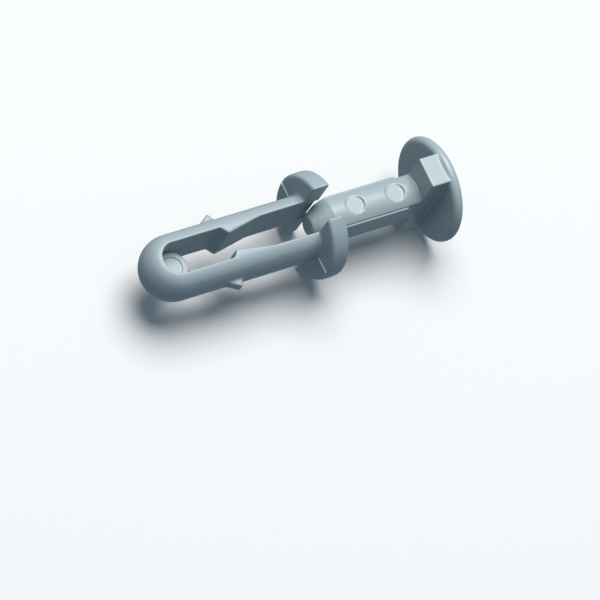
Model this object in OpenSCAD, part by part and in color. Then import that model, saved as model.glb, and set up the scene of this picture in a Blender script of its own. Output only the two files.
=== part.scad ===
// Expansion rivet: a U-shaped shank with a split collar, and the pin that is driven in between
// its legs. X runs along the rivet, from the bow of the U towards the pin's head. The origin is
// on the axis, in the plane of the collar's face that bears on the panel. Z is up as it lies.

/* [Shank] */
// Diameter of the shank, which goes into the panel's hole
shank_d = 5.8; // [5.4:0.1:6.4]
// Height of the shank across its flattened top and bottom
shank_h = 4.3; // [3.8:0.1:4.8]
// Radius that rounds the shank between its flats and its sides
shank_edge = 1.4; // [0.8:0.05:1.5]
// Distance from the collar's bearing face to the centre of the bow
leg_l = 13.2; // [12:0.1:16]
// Width of the gap between the legs next to the bow
gap_w = 2.9; // [2.6:0.1:3.2]

/* [Bow pad] */
// Height of the pad's top above the middle of the shank
pad_z = 0.2; // [0:0.1:0.6]
// Thickness of the round pad that closes the end of the gap
pad_t = 1.4; // [0.6:0.1:1.8]
// Diameter of the ejector's mark on the pad
pad_mark_d = 1.9; // [1.4:0.1:2.2]
// Depth of the ejector's mark on the pad
pad_mark_t = 0.1; // [0.05:0.05:0.2]

/* [Leg ramps] */
// Width of the gap at the nip, where the ramps come closest
nip_w = 1.5; // [1.2:0.1:1.8]
// Distance from the collar's bearing face to the nip
nip_x = 7.9; // [7.2:0.1:8.6]
// Length of the step between the nip and the wider gap at the bow
step_l = 0.5; // [0.3:0.1:0.9]
// Distance from the collar's bearing face to the crease where the steep ramp starts
crease_x = 4.5; // [3.6:0.1:5.2]
// Width of the gap at the crease
crease_w = 2.8; // [2.4:0.1:3]

/* [Barbs] */
// Height of a barb above the shank
barb_h = 0.7; // [0.4:0.1:1]
// Width of a barb
barb_w = 1; // [0.6:0.1:1.4]
// Distance from the collar's bearing face to the barb's crest
barb_x = 8.05; // [7.8:0.05:9]
// Length of the barb's rising side, towards the bow
barb_rise_l = 1.15; // [0.6:0.05:1.4]
// Length of the barb's falling side, towards the collar
barb_fall_l = 0.35; // [0.2:0.05:0.8]

/* [Collar] */
// Diameter of the split collar
collar_d = 9.4; // [8.6:0.1:10.4]
// Thickness of the collar
collar_t = 1.7; // [1.5:0.05:2.1]
// Radius that rounds the collar's rim
collar_edge = 0.3; // [0.1:0.02:0.4]

/* [Pin] */
// Diameter of the pin
pin_d = 4; // [3.8:0.1:4.2]
// Width of the pin across its two flats
pin_w = 3.28; // [3.1:0.02:3.4]
// Height of the two flats
flat_h = 2.76; // [2:0.02:2.8]
// Length of the pin from its tip to the head's underside
pin_l = 12.05; // [11.5:0.05:14]
// Diameter of the pin's blunt tip
tip_d = 1.8; // [1.6:0.1:2.4]
// Length of the pin's cone
cone_l = 1.9; // [1.8:0.1:3]
// Distance from the collar's bearing face back to the pin's tip, before it is driven
pin_set = 0.35; // [0.3:0.05:0.8]

/* [Ejector marks on the pin] */
// Diameter of an ejector's mark
mark_d = 1.8; // [1.2:0.1:2]
// Depth of an ejector's mark below the top of the pin
mark_t = 0.22; // [0.2:0.02:0.34]
// Distance from the head's underside to the first mark
mark_x = 3.9; // [3.8:0.1:4.4]
// Distance between the two marks
mark_pitch = 4.05; // [3.8:0.05:4.4]

/* [Head] */
// Diameter of the pin's head
head_d = 9.4; // [8.6:0.1:10.4]
// Thickness of the head at its rim
head_t = 0.8; // [0.6:0.05:1.2]
// Height of the shallow bevel that crowns the head
crown_h = 0.25; // [0.15:0.05:0.6]
// Diameter of the flat that is struck to drive the pin
strike_d = 5.6; // [4:0.1:7]
// Radius that rounds the head's rim on the struck side
head_edge = 0.25; // [0.1:0.05:0.25]
// Radius that rounds the head's rim on the side of the pin
head_under_edge = 0.5; // [0.2:0.05:0.5]

/* [Key under the head] */
// Width of the key, which fills the collar's slot when the pin is home
key_w = 2.8; // [2.4:0.1:3]
// Length of the key along the pin
key_l = 1.7; // [1.5:0.05:2]
// Height of the key, from end to end across the head
key_h = 8.75; // [7.6:0.05:9]
// Length of the neck in front of the key, where the flats are deeper
neck_l = 1.3; // [0.8:0.1:1.6]

/* [Clearances] */
// Clearance on each side of the key in the collar's slot
key_clear = 0.05; // [0.03:0.01:0.1]
// Clearance above and below the pin where it is wider than the collar's slot, in the slot's seat
seat_clear_z = 0.1; // [0.05:0.01:0.15]
// Clearance on each side of the pin's flats at the wide end of the tapered seat
seat_clear_y = 0.06; // [0.03:0.01:0.1]
// Clearance between the pad and the legs
pad_clear = 0.04; // [0.02:0.01:0.08]

/* [Hidden] */
$fn = 96;

// What runs through a solid passes it by this much at each end
over = 1;
shank_r = shank_d / 2;
gap_r = gap_w / 2;
edge_z = shank_h / 2 - shank_edge;
edge_y = sqrt((shank_r - shank_edge) * (shank_r - shank_edge) - edge_z * edge_z);
edge_end = shank_r * edge_z / (shank_r - shank_edge);
collar_r = collar_d / 2;
slot_w = key_w + 2 * key_clear;
corner_r = sqrt(pin_w * pin_w + flat_h * flat_h) / 2;
seat_y = pin_w / 2 + seat_clear_y;
pin_r = pin_d / 2;
seat_z = max(flat_h / 2, sqrt(pin_r * pin_r - slot_w * slot_w / 4)) + seat_clear_z;
head_x = pin_set + pin_l;
key_x = head_x - key_l;
neck_x = key_x - neck_l;
shank_colour = [0.62, 0.68, 0.7];
pin_colour = [0.68, 0.74, 0.76];

// A cylinder lying along X, from x = 0
module rod_x(r, l) {
    rotate([0, 90, 0])
        cylinder(r = r, h = l);
}

// A box centred on the axis in Y and Z, from x = 0
module bar_x(l, w, h) {
    translate([0, -w / 2, -h / 2])
        cube([l, w, h]);
}

// Half the section of a round plate with a rounded rim: radius r, thickness t, roundings e and f
module rim_section(r, t, e, f) {
    square([r - max(e, f), t]);
    translate([0, e])
        square([r, t - e - f]);
    translate([r - e, e])
        circle(r = e);
    translate([r - f, t - f])
        circle(r = f);
    translate([0, t / 2])
        square([r - f, t / 2]);
}

// The +Y half of the shank's section: a slice of a circle whose flats run into its round sides
module shank_section() {
    intersection() {
        union() {
            translate([0, -shank_h / 2])
                square([edge_y, shank_h]);
            for (z = [-edge_z, edge_z])
                translate([edge_y, z])
                    circle(r = shank_edge);
            intersection() {
                circle(r = shank_r);
                translate([0, -edge_end])
                    square([shank_r, 2 * edge_end]);
            }
        }
        translate([0, -shank_h])
            square([shank_r, 2 * shank_h]);
    }
}

// The U-bend that joins the legs, the shank's section turned about its centre, with its pad
module bow() {
    color(shank_colour)
        translate([-leg_l, 0, 0])
            union() {
                difference() {
                    intersection() {
                        rotate_extrude()
                            shank_section();
                        translate([-shank_r, 0, 0])
                            bar_x(shank_r, shank_d, shank_h);
                    }
                    cylinder(r = gap_r, h = shank_h + over, center = true);
                }
                pad();
            }
}

// The round pad in the end of the gap, with an ejector's mark on its top
module pad() {
    difference() {
        union() {
            translate([0, 0, pad_z - pad_t])
                cylinder(r = gap_r - pad_clear, h = pad_t);
            intersection() {
                translate([0, 0, pad_z - pad_t])
                    cylinder(r = gap_r + pad_clear, h = pad_t);
                translate([-shank_r, 0, 0])
                    bar_x(shank_r, shank_d, shank_h);
            }
        }
        translate([0, 0, pad_z - pad_mark_t])
            cylinder(d = pad_mark_d, h = pad_mark_t + over);
    }
}

// The leg on the +Y side, without its collar: a slice of the shank behind a stepped ramp
module leg() {
    intersection() {
        translate([-leg_l, 0, 0])
            rotate([90, 0, 90])
                linear_extrude(height = leg_l)
                    shank_section();
        linear_extrude(height = shank_h + over, center = true)
            polygon([
                [-leg_l, gap_r],
                [-nip_x - step_l, gap_r],
                [-nip_x, nip_w / 2],
                [-crease_x, crease_w / 2],
                [0, slot_w / 2],
                [0, shank_d],
                [-leg_l, shank_d],
            ]);
    }
}

// The barb on the outside of the +Y leg, rooted in the leg
module barb() {
    root = shank_r - barb_h;
    slope = barb_h / barb_rise_l;
    translate([-barb_x, 0, 0])
        linear_extrude(height = barb_w, center = true)
            polygon([
                [-barb_rise_l - barb_h / slope, root],
                [0, shank_r + barb_h],
                [barb_fall_l, shank_r],
                [barb_fall_l, root],
            ]);
}

// The +Y half of the collar, with its share of the slot and of the seat, where the slot widens
// towards the pin
module half_collar() {
    taper = (seat_y - slot_w / 2) / collar_t;
    difference() {
        rotate([0, 90, 0])
            rotate_extrude()
                rim_section(collar_r, collar_t, collar_edge, collar_edge);
        linear_extrude(height = 2 * seat_z, center = true)
            polygon([
                [-over, 0],
                [-over, slot_w / 2 - taper * over],
                [collar_t + over, seat_y + taper * over],
                [collar_t + over, 0],
            ]);
        translate([-over, -collar_d + slot_w / 2, -collar_d])
            cube([collar_t + 2 * over, collar_d, 2 * collar_d]);
    }
}

// A leg with its barb and its half of the collar
module leg_with_collar() {
    union() {
        leg();
        barb();
        half_collar();
    }
}

module left_leg() {
    color(shank_colour)
        leg_with_collar();
}

module right_leg() {
    color(shank_colour)
        mirror([0, 1, 0])
            leg_with_collar();
}

// The round pin with its two flats and its blunt cone, from the tip to the neck
module pin_body() {
    body_l = neck_x - pin_set;
    grow = (pin_r - tip_d / 2) / cone_l;
    translate([pin_set, 0, 0])
        intersection() {
            union() {
                intersection() {
                    rod_x(pin_r, body_l);
                    bar_x(body_l, pin_w, pin_d);
                }
                bar_x(body_l, pin_w, flat_h);
            }
            rotate([0, 90, 0])
                rotate_extrude()
                    polygon([
                        [0, 0],
                        [tip_d / 2, 0],
                        [corner_r + over, (corner_r + over - tip_d / 2) / grow],
                        [corner_r + over, body_l],
                        [0, body_l],
                    ]);
        }
}

// The neck: the pin's round between deeper flats, up to the head
module neck() {
    intersection() {
        rod_x(pin_r, neck_l + key_l);
        bar_x(neck_l + key_l, key_w, pin_d);
    }
}

// The round head: a rounded rim, a shallow bevelled crown and a flat to strike
module head() {
    rotate([0, 90, 0])
        rotate_extrude()
            union() {
                rim_section(head_d / 2, head_t, head_under_edge, head_edge);
                polygon([
                    [0, 0],
                    [head_d / 2 - head_under_edge, 0],
                    [head_d / 2 - head_under_edge, head_t],
                    [strike_d / 2, head_t + crown_h],
                    [0, head_t + crown_h],
                ]);
            }
}

// The pin in one piece: body, neck, key and head, less the ejectors' marks
module drive_pin() {
    color(pin_colour)
        difference() {
            union() {
                pin_body();
                translate([neck_x, 0, 0])
                    neck();
                translate([key_x, 0, 0])
                    bar_x(key_l + head_edge, key_w, key_h);
                translate([head_x, 0, 0])
                    head();
            }
            for (i = [0:1])
                translate([head_x - mark_x - i * mark_pitch, 0, pin_r - mark_t])
                    cylinder(d = mark_d, h = mark_t + over);
        }
}

bow();
left_leg();
right_leg();
drive_pin();
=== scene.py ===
"""Dresses the expansion rivet: soft-edged skins, parting lines, polyamide, floor and light."""

from math import pi, radians

import bmesh
import bpy
from bpy.props import FloatProperty, FloatVectorProperty, IntProperty, PointerProperty
from mathutils import Matrix, Vector


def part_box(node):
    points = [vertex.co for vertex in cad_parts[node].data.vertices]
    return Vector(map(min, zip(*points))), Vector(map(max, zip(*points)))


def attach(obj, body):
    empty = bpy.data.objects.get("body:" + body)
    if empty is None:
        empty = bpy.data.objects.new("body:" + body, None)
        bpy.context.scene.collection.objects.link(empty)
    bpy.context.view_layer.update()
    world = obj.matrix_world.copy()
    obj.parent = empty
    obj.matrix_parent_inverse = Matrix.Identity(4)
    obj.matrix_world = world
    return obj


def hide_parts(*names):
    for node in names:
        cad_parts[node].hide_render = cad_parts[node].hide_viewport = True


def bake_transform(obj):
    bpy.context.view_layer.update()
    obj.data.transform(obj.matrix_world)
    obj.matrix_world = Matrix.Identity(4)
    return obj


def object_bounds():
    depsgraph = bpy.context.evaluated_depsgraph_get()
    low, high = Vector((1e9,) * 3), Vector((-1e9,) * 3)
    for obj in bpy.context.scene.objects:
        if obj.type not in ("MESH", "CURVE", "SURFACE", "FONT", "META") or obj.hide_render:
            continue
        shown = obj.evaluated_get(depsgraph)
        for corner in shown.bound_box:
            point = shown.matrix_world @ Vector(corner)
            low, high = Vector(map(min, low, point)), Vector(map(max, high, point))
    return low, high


bl_info = {
    "name": "Expansion Rivet",
    "version": (1, 0, 0),
    "blender": (4, 5, 0),
    "location": "View3D > Sidebar > Rivet",
    "description": "Builds the skins, parting lines, materials and stage of an expansion rivet",
    "category": "Object",
}

MM = 0.001

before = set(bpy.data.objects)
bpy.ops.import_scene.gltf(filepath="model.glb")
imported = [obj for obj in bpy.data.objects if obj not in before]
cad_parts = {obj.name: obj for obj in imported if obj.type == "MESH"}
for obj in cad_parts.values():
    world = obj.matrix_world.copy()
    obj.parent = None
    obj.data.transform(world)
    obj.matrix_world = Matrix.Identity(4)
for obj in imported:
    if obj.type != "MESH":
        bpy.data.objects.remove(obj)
CAD_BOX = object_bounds()


def mm(length):
    """A length in metres as millimetres, without the rounding that a property adds."""
    return round(length / MM, 6)


def linear(code):
    """A six-digit sRGB hex colour as the linear RGBA that the shader takes."""
    parts = [int(code[i : i + 2], 16) / 255 for i in (0, 2, 4)]
    return [c / 12.92 if c <= 0.04045 else ((c + 0.055) / 1.055) ** 2.4 for c in parts] + [1.0]


def box_mm(node):
    """The lowest and highest corner of a CAD node, in millimetres."""
    low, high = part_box(node)
    return low / MM, high / MM


# The shapes below are worked out in millimetres, in the frame of the CAD model, and scaled to
# metres when a piece is finished.

# Where the legs leave the bow, which is also the centre of its bend
BEND_X = box_mm("left_leg")[0].x
SHANK_R = box_mm("bow")[1].y
COLLAR_R = box_mm("left_leg")[1].y
PIN_TIP = box_mm("drive_pin")[0].x

# Points nearer to each other than this are one point
WELD = 1e-4
# Points nearer to a cutting plane than this are on it
ON_PLANE = 1e-5
# The cutter that opens the gap's round end: its sides, and a depth that passes through the bow
GAP_CUTTER_SIDES = 128
GAP_CUTTER_DEPTH = 12
# The pad in the bow: its sides, the rounding of its edges, and the slope of its mark's wall
PAD_SIDES = 96
PAD_ROUNDING = 0.12
MARK_SLOPE = 0.05
# A collar's parting line starts this far inside the shank and ends this far short of the rim
LINE_TUCK = 0.1
LINE_SHORT = 0.2
# The grooves beside the pin's front flat run along its ledges: their ends, their inner side and
# the height of the ledges. The cutter is high enough to clear the pin's round.
GROOVE_ENDS = (PIN_TIP + 2.3, PIN_TIP + 9.0)
GROOVE_INNER_Y = 1.4
LEDGE_Z = 1.38
GROOVE_CUTTER_HEIGHT = 0.5
# Edges of the pin that turn by more than this stay sharp in its shading
SHARP_ANGLE = radians(55)

# The camera's right and upward ways
CAMERA_RIGHT = Vector((0.84565, -0.42303, 0.32591))
CAMERA_UP = Vector((0.26291, 0.86125, 0.43544))
# The middle of the head's underside, and how far right of and above the view's middle it shows
HEAD_SEAT = Vector((12.4, 0, 0))
HEAD_RIGHT = 10.807
HEAD_ABOVE = 9.433
SENSOR_WIDTH = 36
# The way from the part to the softbox
SOFTBOX_WAY = Vector((0.12, 0.33, 0.92))


# ---------------------------------------------------------------- properties


class RivetShankSettings(bpy.types.PropertyGroup):
    """Sizes of the shank's skin."""

    grain: FloatProperty(
        name="Mesh Grain",
        description="Size of a mesh face on the skin",
        default=0.056 * MM,
        min=0.04 * MM,
        max=0.2 * MM,
        precision=3,
        unit="LENGTH",
    )
    soften: IntProperty(
        name="Edge Softening",
        description="Rounds of smoothing that soften the moulded edges",
        default=50,
        min=0,
        max=80,
    )
    gap_radius: FloatProperty(
        name="Gap Radius",
        description="Radius of the gap's round end",
        default=1.47 * MM,
        min=1.2 * MM,
        max=1.6 * MM,
        unit="LENGTH",
    )
    bend_start: FloatProperty(
        name="Bend Start",
        description="Where the bend of a leg starts, from the bow's centre towards the head",
        default=-1.3 * MM,
        unit="LENGTH",
    )
    bend_end: FloatProperty(
        name="Bend End",
        description="Where the bend of a leg ends, from the bow's centre towards the head",
        default=3.7 * MM,
        unit="LENGTH",
    )


class RivetPadSettings(bpy.types.PropertyGroup):
    """Sizes of the round pad in the end of the gap."""

    radius: FloatProperty(
        name="Pad Radius",
        description="Radius of the pad",
        default=1.44 * MM,
        min=1 * MM,
        max=1.5 * MM,
        unit="LENGTH",
    )
    top: FloatProperty(
        name="Pad Top",
        description="Height of the pad's top above the rivet's axis",
        default=0.2 * MM,
        unit="LENGTH",
    )
    thickness: FloatProperty(
        name="Pad Thickness",
        description="Height of the pad",
        default=1.4 * MM,
        min=0.5 * MM,
        max=2 * MM,
        unit="LENGTH",
    )
    mark_radius: FloatProperty(
        name="Mark Radius",
        description="Radius of the ejector's mark",
        default=0.95 * MM,
        min=0.5 * MM,
        max=1.2 * MM,
        unit="LENGTH",
    )
    mark_depth: FloatProperty(
        name="Mark Depth",
        description="Depth of the ejector's mark",
        default=0.1 * MM,
        min=0.02 * MM,
        max=0.2 * MM,
        unit="LENGTH",
    )


class RivetLineSettings(bpy.types.PropertyGroup):
    """Sizes of the thin raised lines where the halves of the mould met."""

    radius: FloatProperty(
        name="Line Radius",
        description="Radius of a parting line",
        default=0.075 * MM,
        min=0.02 * MM,
        max=0.15 * MM,
        precision=3,
        unit="LENGTH",
    )
    sides: IntProperty(
        name="Line Sides",
        description="Sides of a parting line's round section",
        default=10,
        min=6,
        max=24,
    )


class RivetPinSettings(bpy.types.PropertyGroup):
    """Sizes of the drive pin's skin."""

    grain: FloatProperty(
        name="Mesh Grain",
        description="Size of a mesh face on the skin",
        default=0.05 * MM,
        min=0.04 * MM,
        max=0.2 * MM,
        precision=3,
        unit="LENGTH",
    )
    soften: IntProperty(
        name="Edge Softening",
        description="Rounds of smoothing that soften the moulded edges",
        default=16,
        min=0,
        max=80,
    )
    tip_soften: IntProperty(
        name="Tip Softening",
        description="More rounds of smoothing for the rim of the blunt tip",
        default=40,
        min=0,
        max=80,
    )
    tip_length: FloatProperty(
        name="Tip Length",
        description="How far from its end the tip is softened",
        default=0.5 * MM,
        min=0.2 * MM,
        max=1 * MM,
        unit="LENGTH",
    )
    keep: FloatProperty(
        name="Faces Kept",
        description="Share of the faces that the thinning keeps",
        default=0.62,
        min=0.1,
        max=1,
        subtype="FACTOR",
    )
    groove_width: FloatProperty(
        name="Groove Width",
        description="Width of the grooves beside the front flat",
        default=0.08 * MM,
        min=0.05 * MM,
        max=0.15 * MM,
        unit="LENGTH",
    )
    groove_depth: FloatProperty(
        name="Groove Depth",
        description="Depth of the grooves below the flat's ledges",
        default=0.12 * MM,
        min=0.05 * MM,
        max=0.3 * MM,
        unit="LENGTH",
    )


class RivetStageSettings(bpy.types.PropertyGroup):
    """Floor, camera and light."""

    floor_size: FloatProperty(
        name="Floor Size",
        description="Width of the floor",
        default=1.6,
        min=0.2,
        unit="LENGTH",
    )
    frame_width: FloatProperty(
        name="Frame Width",
        description="Width of what the camera takes in",
        default=51.724 * MM,
        min=0.01,
        unit="LENGTH",
    )
    camera_distance: FloatProperty(
        name="Camera Distance",
        description="Distance of the camera",
        default=0.6,
        min=0.1,
        unit="LENGTH",
    )
    key_power: FloatProperty(
        name="Key Power",
        description="Power of the softbox above",
        default=3.9,
        min=0,
        unit="POWER",
    )
    key_size: FloatProperty(
        name="Key Size",
        description="Width of the round softbox above",
        default=0.42,
        min=0.05,
        unit="LENGTH",
    )
    key_distance: FloatProperty(
        name="Key Distance",
        description="Distance of the softbox from the part",
        default=0.5,
        min=0.1,
        unit="LENGTH",
    )
    sky: FloatProperty(
        name="Room Light",
        description="Strength of the light from the room",
        default=0.34,
        min=0,
    )
    room_colour: FloatVectorProperty(
        name="Room Colour",
        description="Colour of the light from the room",
        default=linear("cfe9ff"),
        size=4,
        min=0,
        max=1,
        subtype="COLOR",
    )
    floor_colour: FloatVectorProperty(
        name="Floor Colour",
        description="Colour of the floor",
        default=linear("d3d2d0"),
        size=4,
        min=0,
        max=1,
        subtype="COLOR",
    )


class RivetSettings(bpy.types.PropertyGroup):
    """All that a user would change."""

    shank: PointerProperty(
        type=RivetShankSettings, name="Shank", description="The shank's skin"
    )
    pad: PointerProperty(
        type=RivetPadSettings, name="Pad", description="The pad in the bow"
    )
    lines: PointerProperty(
        type=RivetLineSettings, name="Parting Lines", description="The mould's parting lines"
    )
    pin: PointerProperty(
        type=RivetPinSettings, name="Pin", description="The drive pin's skin"
    )
    stage: PointerProperty(
        type=RivetStageSettings, name="Stage", description="Floor, camera and light"
    )
    shank_colour: FloatVectorProperty(
        name="Shank Colour",
        description="Colour of the shank's polyamide",
        default=linear("909da0"),
        size=4,
        min=0,
        max=1,
        subtype="COLOR",
    )
    pin_colour: FloatVectorProperty(
        name="Pin Colour",
        description="Colour of the pin's polyamide",
        default=linear("94a1a3"),
        size=4,
        min=0,
        max=1,
        subtype="COLOR",
    )
    # The lines' colour is lighter than the shank's: a painted highlight for the light the thin
    # ridges catch
    line_highlight_colour: FloatVectorProperty(
        name="Line Colour",
        description="Colour of the thin raised lines, which light enters from all sides",
        default=linear("c2cdd0"),
        size=4,
        min=0,
        max=1,
        subtype="COLOR",
    )


# ---------------------------------------------------------------- materials


def add(tree, kind, inputs=None, **settings):
    """Adds a node of that kind.

    The settings are its properties, and the inputs are values or the sockets that feed it.
    """
    node = tree.nodes.new(kind)
    for name, value in settings.items():
        setattr(node, name, value)
    for name, value in (inputs or {}).items():
        if isinstance(value, bpy.types.NodeSocket):
            tree.links.new(value, node.inputs[name])
        else:
            node.inputs[name].default_value = value
    return node


def bare_material(name):
    """A new material with an empty node tree."""
    material = bpy.data.materials.new(name)
    material.use_nodes = True
    material.node_tree.nodes.clear()
    return material


def repeats(size):
    """The scale of a pattern on Object coordinates whose cells are that many millimetres."""
    return 1 / (size * MM)


def toned(colour, factor):
    """The colour made darker or lighter by a factor."""
    return [min(1.0, c * factor) for c in colour[:3]] + [1.0]


def polyamide(name, colour, roughness):
    """Polyamide 6, injection moulded in a spark-eroded mould.

    It looks satin: a fine even grain breaks up the gloss, the colour clouds a little where the
    melt met the walls, and the walls are slightly uneven where the melt shrank.
    """
    material = bare_material(name)
    tree = material.node_tree
    place = add(tree, "ShaderNodeTexCoord").outputs["Object"]
    # Clouds 2.4 mm across, drawn out to 7 mm along the way the melt ran
    flow = add(
        tree,
        "ShaderNodeMapping",
        {"Vector": place, "Scale": (repeats(7.14), repeats(2.38), repeats(2.38))},
    )
    clouds = add(
        tree,
        "ShaderNodeTexNoise",
        {"Vector": flow.outputs["Vector"], "Scale": 1.0, "Detail": 3.0, "Roughness": 0.55},
    )
    # Spark-eroded grain: 0.03 mm in the mould, drawn at 0.12 mm so that it shows
    grain = add(
        tree,
        "ShaderNodeTexNoise",
        {"Vector": place, "Scale": repeats(0.12), "Detail": 2.0, "Roughness": 0.6},
    )
    # Slow unevenness of the walls, about 1.2 mm across, from the melt's shrinking
    sink = add(
        tree,
        "ShaderNodeTexNoise",
        {"Vector": place, "Scale": repeats(1.2), "Detail": 1.0, "Roughness": 0.4},
    )
    # A Mix node carries the sockets of all its data types: 0, 6 and 7 in and 2 out are colour's
    tint = add(
        tree,
        "ShaderNodeMix",
        {0: clouds.outputs["Fac"], 6: toned(colour, 0.93), 7: toned(colour, 1.05)},
        data_type="RGBA",
    )
    gloss = add(
        tree,
        "ShaderNodeMapRange",
        {
            "Value": grain.outputs["Fac"],
            "From Min": 0.3,
            "From Max": 0.7,
            "To Min": roughness - 0.05,
            "To Max": roughness + 0.06,
        },
    )
    wall = add(
        tree,
        "ShaderNodeBump",
        {"Height": sink.outputs["Fac"], "Strength": 0.35, "Distance": 0.02 * MM},
    )
    skin = add(
        tree,
        "ShaderNodeBump",
        {
            "Height": grain.outputs["Fac"],
            "Strength": 0.3,
            "Distance": 0.006 * MM,
            "Normal": wall.outputs["Normal"],
        },
    )
    shader = add(
        tree,
        "ShaderNodeBsdfPrincipled",
        {
            "Base Color": tint.outputs[2],
            "Roughness": gloss.outputs["Result"],
            "Normal": skin.outputs["Normal"],
            "IOR": 1.53,
            "Specular IOR Level": 0.5,
        },
    )
    add(tree, "ShaderNodeOutputMaterial", {"Surface": shader.outputs["BSDF"]})
    material.diffuse_color = colour
    return material


def paper(name, colour):
    """Matt backdrop paper: even, with fibres of about 0.4 mm and no gloss."""
    material = bare_material(name)
    tree = material.node_tree
    place = add(tree, "ShaderNodeTexCoord").outputs["Object"]
    fibre = add(
        tree, "ShaderNodeTexNoise", {"Vector": place, "Scale": repeats(0.4), "Detail": 2.0}
    )
    bump = add(
        tree,
        "ShaderNodeBump",
        {"Height": fibre.outputs["Fac"], "Strength": 0.05, "Distance": 0.01 * MM},
    )
    shader = add(
        tree,
        "ShaderNodeBsdfPrincipled",
        {
            "Base Color": colour,
            "Roughness": 1.0,
            "Specular IOR Level": 0.0,
            "Normal": bump.outputs["Normal"],
        },
    )
    add(tree, "ShaderNodeOutputMaterial", {"Surface": shader.outputs["BSDF"]})
    return material


def finish_of(name, maker, *values):
    """The material of that name, made at its first use."""
    return bpy.data.materials.get(name) or maker(name, *values)


def shank_finish():
    """The shank's satin polyamide."""
    colour = list(bpy.context.scene.rivet.shank_colour)
    return finish_of("polyamide_shank_satin", polyamide, colour, 0.4)


def pin_finish():
    """The pin's polyamide, a little lighter and glossier than the shank's."""
    colour = list(bpy.context.scene.rivet.pin_colour)
    return finish_of("polyamide_pin_satin", polyamide, colour, 0.36)


def line_highlight_finish():
    """The polyamide of the thin raised lines, painted lighter than the walls beside them as a
    painted highlight.
    """
    colour = list(bpy.context.scene.rivet.line_highlight_colour)
    # The lighter colour is a painted highlight, not the lines' own tone
    return finish_of("polyamide_parting_line", polyamide, colour, 0.4)


# ---------------------------------------------------------------- mesh helpers


def merged_copy(*nodes):
    """The closed solids of these CAD nodes in one bmesh, in millimetres."""
    form = bmesh.new()
    for node in nodes:
        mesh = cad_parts[node].data.copy()
        mesh.transform(Matrix.Scale(1 / MM, 4))
        form.from_mesh(mesh)
        bpy.data.meshes.remove(mesh)
    bmesh.ops.remove_doubles(form, verts=form.verts, dist=WELD)
    return form


def as_mesh(name, form):
    """A new mesh from a bmesh, which is freed."""
    mesh = bpy.data.meshes.new(name)
    form.to_mesh(mesh)
    form.free()
    return mesh


def linked(name, data):
    """A new object in the scene for a mesh, a camera or a light."""
    obj = bpy.data.objects.new(name, data)
    bpy.context.scene.collection.objects.link(obj)
    return obj


def discard(obj):
    """Removes a scratch object, and its mesh where nothing else uses it."""
    mesh = obj.data
    bpy.data.objects.remove(obj)
    if mesh.users == 0:
        bpy.data.meshes.remove(mesh)


def settled(obj):
    """The mesh of a scratch object with its modifiers applied. The object is removed."""
    depsgraph = bpy.context.evaluated_depsgraph_get()
    result = bpy.data.meshes.new_from_object(obj.evaluated_get(depsgraph))
    discard(obj)
    return result


def cut_away(mesh, form):
    """The mesh less the solids of a bmesh. Both are used up."""
    obj = linked("cut_form", mesh)
    cutter = linked("cutter", as_mesh("cutter", form))
    cut = obj.modifiers.new("Cut", "BOOLEAN")
    cut.operation = "DIFFERENCE"
    cut.solver = "EXACT"
    cut.object = cutter
    result = settled(obj)
    discard(cutter)
    return result


def softened(form, grain, rounds, keep=1.0):
    """One skin round all the solids of a bmesh, with its edges softened."""
    obj = linked("soft_form", as_mesh("soft_form", form))
    skin = obj.modifiers.new("Skin", "REMESH")
    skin.mode = "VOXEL"
    skin.voxel_size = grain
    skin.adaptivity = 0.0
    smooth = obj.modifiers.new("Soften", "SMOOTH")
    smooth.factor = 0.5
    smooth.iterations = rounds
    if keep < 1.0:
        thin = obj.modifiers.new("Thin", "DECIMATE")
        thin.ratio = keep
    return settled(obj)


def eased(mesh, belongs, rounds):
    """Smooths those points of a mesh for which belongs(point) is true."""
    form = bmesh.new()
    form.from_mesh(mesh)
    verts = [v for v in form.verts if belongs(v.co)]
    for _ in range(rounds):
        bmesh.ops.smooth_vert(
            form, verts=verts, factor=0.5, use_axis_x=True, use_axis_y=True, use_axis_z=True
        )
    form.to_mesh(mesh)
    form.free()


def finished(name, mesh, material):
    """A finished piece: its mesh in metres, smooth, at the origin."""
    mesh.transform(Matrix.Scale(MM, 4))
    mesh.materials.clear()
    mesh.materials.append(material)
    mesh.polygons.foreach_set("use_smooth", [True] * len(mesh.polygons))
    mesh.polygons.foreach_set("material_index", [0] * len(mesh.polygons))
    mesh.name = name
    mesh.update()
    obj = linked(name, mesh)
    return obj


def half_of(mesh, side):
    """The half of a mesh on one side of the plane y = 0, closed along the cut."""
    form = bmesh.new()
    form.from_mesh(mesh)
    cut = bmesh.ops.bisect_plane(
        form,
        geom=form.verts[:] + form.edges[:] + form.faces[:],
        dist=ON_PLANE,
        plane_co=(0, 0, 0),
        plane_no=(0, -side, 0),
        clear_outer=True,
    )
    rim = [e for e in cut["geom_cut"] if isinstance(e, bmesh.types.BMEdge)]
    caps = bmesh.ops.edgeloop_fill(form, edges=rim)["faces"]
    bmesh.ops.triangulate(form, faces=caps)
    for edge in rim:
        edge.smooth = False
    return as_mesh("half", form)


def lathe(profile, steps, centre):
    """A closed solid of revolution about Z through the centre, from (radius, height) points."""
    form = bmesh.new()
    spin = Matrix.Rotation(2 * pi / steps, 3, "Z")
    ring = [Vector((r, 0, z)) for r, z in profile]
    rows = []
    for _ in range(steps):
        rows.append([form.verts.new(p + centre) for p in ring])
        ring = [spin @ p for p in ring]
    for i in range(steps):
        here, there = rows[i], rows[(i + 1) % steps]
        for j in range(len(profile) - 1):
            form.faces.new((here[j], there[j], there[j + 1], here[j + 1]))
    bmesh.ops.remove_doubles(form, verts=form.verts, dist=WELD)
    bmesh.ops.recalc_face_normals(form, faces=form.faces)
    return as_mesh("lathe", form)


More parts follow.
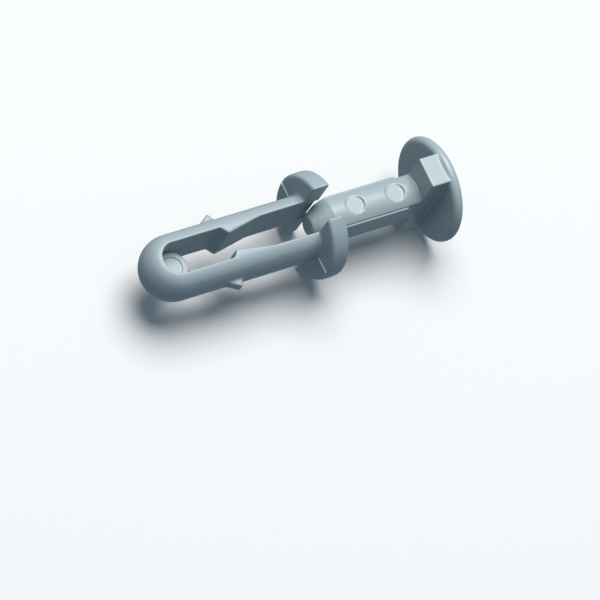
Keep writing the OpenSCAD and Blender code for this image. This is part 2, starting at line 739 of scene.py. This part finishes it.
def rounded(profile, radius, steps=5):
    """An open profile with its inner corners rounded.

    Each corner is cut back by the radius, or by just under half of a shorter side, and bowed.
    """
    out = [profile[0]]
    for before, corner, after in zip(profile, profile[1:], profile[2:]):
        a, b, c = Vector(before), Vector(corner), Vector(after)
        back = min(radius, (a - b).length * 0.45, (c - b).length * 0.45)
        p, q = b + (a - b).normalized() * back, b + (c - b).normalized() * back
        for i in range(steps + 1):
            t = i / steps
            out.append(tuple(p * (1 - t) ** 2 + b * 2 * t * (1 - t) + q * t * t))
    out.append(profile[-1])
    return out


# ---------------------------------------------------------------- parting lines


def line_tree():
    """Geometry Nodes: a round bead along the edges of a mesh.

    Its inputs are the bead's radius, its sides and its finish.
    """
    tree = bpy.data.node_groups.get("Parting Line")
    if tree:
        return tree
    tree = bpy.data.node_groups.new("Parting Line", "GeometryNodeTree")
    for name, way, kind in (
        ("Path", "INPUT", "NodeSocketGeometry"),
        ("Line Radius", "INPUT", "NodeSocketFloat"),
        ("Line Sides", "INPUT", "NodeSocketInt"),
        ("Finish", "INPUT", "NodeSocketMaterial"),
        ("Beads", "OUTPUT", "NodeSocketGeometry"),
    ):
        tree.interface.new_socket(name, in_out=way, socket_type=kind)
    given = add(tree, "NodeGroupInput")
    path = add(tree, "GeometryNodeMeshToCurve", {"Mesh": given.outputs["Path"]})
    ring = add(
        tree,
        "GeometryNodeCurvePrimitiveCircle",
        {"Resolution": given.outputs["Line Sides"], "Radius": given.outputs["Line Radius"]},
    )
    bead = add(
        tree,
        "GeometryNodeCurveToMesh",
        {
            "Curve": path.outputs["Curve"],
            "Profile Curve": ring.outputs["Curve"],
            "Fill Caps": True,
        },
    )
    whole = add(tree, "GeometryNodeRealizeInstances", {"Geometry": bead.outputs["Mesh"]})
    coated = add(
        tree,
        "GeometryNodeSetMaterial",
        {"Geometry": whole.outputs["Geometry"], "Material": given.outputs["Finish"]},
    )
    add(tree, "NodeGroupOutput", {"Beads": coated.outputs["Geometry"]})
    return tree


def parting_line(name, run, material):
    """A bead along a run of points."""
    lines = bpy.context.scene.rivet.lines
    form = bmesh.new()
    verts = [form.verts.new(p) for p in run]
    for a, b in zip(verts, verts[1:]):
        form.edges.new((a, b))
    obj = linked(name + "_path", as_mesh(name + "_path", form))
    tree = line_tree()
    beads = obj.modifiers.new("Beads", "NODES")
    beads.node_group = tree
    values = {"Line Radius": mm(lines.radius), "Line Sides": lines.sides, "Finish": material}
    for socket in tree.interface.items_tree:
        if socket.name in values:
            beads[socket.identifier] = values[socket.name]
    return finished(name, settled(obj), material)


# ---------------------------------------------------------------- operators


class RIVET_OT_shank(bpy.types.Operator):
    """Build the shank's skin in two halves, one on each leg's side"""

    bl_idname = "rivet.shank"
    bl_label = "Build Shank"

    def execute(self, context):
        sizes = context.scene.rivet.shank
        # The pad is a piece of its own, so the round end of the gap is opened first
        gap_end = bmesh.new()
        bmesh.ops.create_cone(
            gap_end,
            cap_ends=True,
            segments=GAP_CUTTER_SIDES,
            radius1=mm(sizes.gap_radius),
            radius2=mm(sizes.gap_radius),
            depth=GAP_CUTTER_DEPTH,
            matrix=Matrix.Translation((BEND_X, 0, 0)),
        )
        open_bow = cut_away(as_mesh("bow_form", merged_copy("bow")), gap_end)

        form = merged_copy("left_leg", "right_leg")
        form.from_mesh(open_bow)
        bpy.data.meshes.remove(open_bow)
        whole = softened(form, mm(sizes.grain), sizes.soften)
        for side, word in ((1, "left"), (-1, "right")):
            skin = finished(
                word + "_shank_half", half_of(whole, side), shank_finish()
            )
            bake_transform(skin)
            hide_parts(word + "_leg")
        bpy.data.meshes.remove(whole)
        return {"FINISHED"}


class RIVET_OT_pad(bpy.types.Operator):
    """Build the round pad in the end of the gap"""

    bl_idname = "rivet.pad"
    bl_label = "Build Bow Pad"

    def execute(self, context):
        sizes = context.scene.rivet.pad
        side = mm(sizes.radius)
        top = mm(sizes.top)
        base = top - mm(sizes.thickness)
        rim = mm(sizes.mark_radius)
        floor = top - mm(sizes.mark_depth)
        profile = [
            (0, base),
            (side, base),
            (side, top),
            (rim, top),
            (rim - MARK_SLOPE, floor),
            (0, floor),
        ]
        form = lathe(rounded(profile, PAD_ROUNDING), PAD_SIDES, Vector((BEND_X, 0, 0)))
        pad = finished("bow_pad", form, shank_finish())
        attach(pad, "shank")
        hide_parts("bow")
        return {"FINISHED"}


class RIVET_OT_parting_lines(bpy.types.Operator):
    """Build the raised lines where the halves of the mould met"""

    bl_idname = "rivet.parting_lines"
    bl_label = "Build Parting Lines"

    def execute(self, context):
        for side, word in ((1, "left"), (-1, "right")):
            run = [
                (0.0, side * (SHANK_R - LINE_TUCK), 0),
                (0.0, side * (COLLAR_R - LINE_SHORT), 0),
            ]
            line = parting_line(word + "_collar_line", run, line_highlight_finish())
            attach(line, word + "_leg")
        return {"FINISHED"}


class RIVET_OT_pin(bpy.types.Operator):
    """Build the drive pin's skin"""

    bl_idname = "rivet.pin"
    bl_label = "Build Drive Pin"

    def execute(self, context):
        sizes = context.scene.rivet.pin
        skin = softened(merged_copy("drive_pin"), mm(sizes.grain), sizes.soften, sizes.keep)
        tip_end = PIN_TIP + mm(sizes.tip_length)
        eased(skin, lambda point: point.x < tip_end, sizes.tip_soften)

        width, depth = mm(sizes.groove_width), mm(sizes.groove_depth)
        start, end = GROOVE_ENDS
        size = Matrix.Diagonal((end - start, width, GROOVE_CUTTER_HEIGHT, 1))
        middle_z = LEDGE_Z - depth + GROOVE_CUTTER_HEIGHT / 2
        grooves = bmesh.new()
        for side in (-1, 1):
            middle = Vector(((start + end) / 2, -GROOVE_INNER_Y - width / 2, side * middle_z))
            bmesh.ops.create_cube(grooves, size=1, matrix=Matrix.Translation(middle) @ size)
        skin = cut_away(skin, grooves)
        skin.set_sharp_from_angle(angle=SHARP_ANGLE)
        pin = finished("drive_pin_skin", skin, pin_finish())
        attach(pin, "pin")
        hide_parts("drive_pin")
        return {"FINISHED"}


def lay_floor(stage):
    """A square of backdrop paper under the part."""
    half = stage.floor_size / 2
    ground = CAD_BOX[0][2]
    form = bmesh.new()
    corners = [(-half, -half), (half, -half), (half, half), (-half, half)]
    form.faces.new([form.verts.new((x, y, ground)) for x, y in corners])
    floor = linked("floor", as_mesh("floor", form))
    floor.data.materials.append(finish_of("backdrop_paper", paper, list(stage.floor_colour)))
    # The floor takes the part's shadow and throws no light back at it
    floor.visible_diffuse = False
    floor.visible_glossy = False


def place_camera(stage):
    """The camera, aimed so that the head shows right of and above the view's middle."""
    right = CAMERA_RIGHT.normalized()
    back = right.cross(CAMERA_UP).normalized()
    up = back.cross(right)
    target = (HEAD_SEAT - right * HEAD_RIGHT - up * HEAD_ABOVE) * MM
    lens = bpy.data.cameras.new("camera")
    lens.sensor_width = SENSOR_WIDTH
    lens.lens = SENSOR_WIDTH * stage.camera_distance / stage.frame_width
    lens.clip_start = 0.01
    lens.clip_end = 10
    camera = linked("camera", lens)
    turn = Matrix((right, up, back)).transposed().to_4x4()
    camera.matrix_world = Matrix.Translation(target + back * stage.camera_distance) @ turn
    bpy.context.scene.camera = camera


def hang_lights(stage):
    """A large round softbox above and behind the part, and an even light from the room."""
    lamp = bpy.data.lights.new("softbox_above", "AREA")
    lamp.shape = "DISK"
    lamp.size = stage.key_size
    lamp.energy = stage.key_power
    way = SOFTBOX_WAY.normalized()
    turn = way.to_track_quat("Z", "Y").to_matrix().to_4x4()
    light = linked("softbox_above", lamp)
    light.matrix_world = Matrix.Translation(way * stage.key_distance) @ turn

    world = bpy.data.worlds.new("room")
    world.use_nodes = True
    tree = world.node_tree
    tree.nodes.clear()
    room = add(
        tree,
        "ShaderNodeBackground",
        {"Color": list(stage.room_colour), "Strength": stage.sky},
    )
    add(tree, "ShaderNodeOutputWorld", {"Surface": room.outputs["Background"]})
    bpy.context.scene.world = world


class RIVET_OT_stage(bpy.types.Operator):
    """Build the floor, the camera and the light"""

    bl_idname = "rivet.stage"
    bl_label = "Build Stage"

    def execute(self, context):
        stage = context.scene.rivet.stage
        lay_floor(stage)
        place_camera(stage)
        hang_lights(stage)
        context.scene.view_settings.view_transform = "Standard"
        return {"FINISHED"}


class RIVET_PT_panel(bpy.types.Panel):
    """The rivet's pieces and their sizes"""

    bl_idname = "RIVET_PT_panel"
    bl_label = "Expansion Rivet"
    bl_space_type = "VIEW_3D"
    bl_region_type = "UI"
    bl_category = "Rivet"

    def draw(self, context):
        rivet = context.scene.rivet
        layout = self.layout
        for kind, group in (
            (RIVET_OT_shank, rivet.shank),
            (RIVET_OT_pad, rivet.pad),
            (RIVET_OT_parting_lines, rivet.lines),
            (RIVET_OT_pin, rivet.pin),
            (RIVET_OT_stage, rivet.stage),
        ):
            part = layout.box()
            part.operator(kind.bl_idname)
            for prop in group.bl_rna.properties:
                if prop.identifier not in ("rna_type", "name"):
                    part.prop(group, prop.identifier)
        for colour in ("shank_colour", "pin_colour", "line_highlight_colour"):
            layout.prop(rivet, colour)


CLASSES = (
    RivetShankSettings,
    RivetPadSettings,
    RivetLineSettings,
    RivetPinSettings,
    RivetStageSettings,
    RivetSettings,
    RIVET_OT_shank,
    RIVET_OT_pad,
    RIVET_OT_parting_lines,
    RIVET_OT_pin,
    RIVET_OT_stage,
    RIVET_PT_panel,
)


def register():
    """Registers the settings, the operators and the panel."""
    for kind in CLASSES:
        bpy.utils.register_class(kind)
    bpy.types.Scene.rivet = PointerProperty(type=RivetSettings)


def unregister():
    """Takes back what register() did."""
    del bpy.types.Scene.rivet
    for kind in reversed(CLASSES):
        bpy.utils.unregister_class(kind)


def main():
    """Builds the rivet and its stage."""
    register()
    bpy.ops.rivet.shank()
    bpy.ops.rivet.pad()
    bpy.ops.rivet.parting_lines()
    bpy.ops.rivet.pin()
    bpy.ops.rivet.stage()


if __name__ == "__main__":
    main()
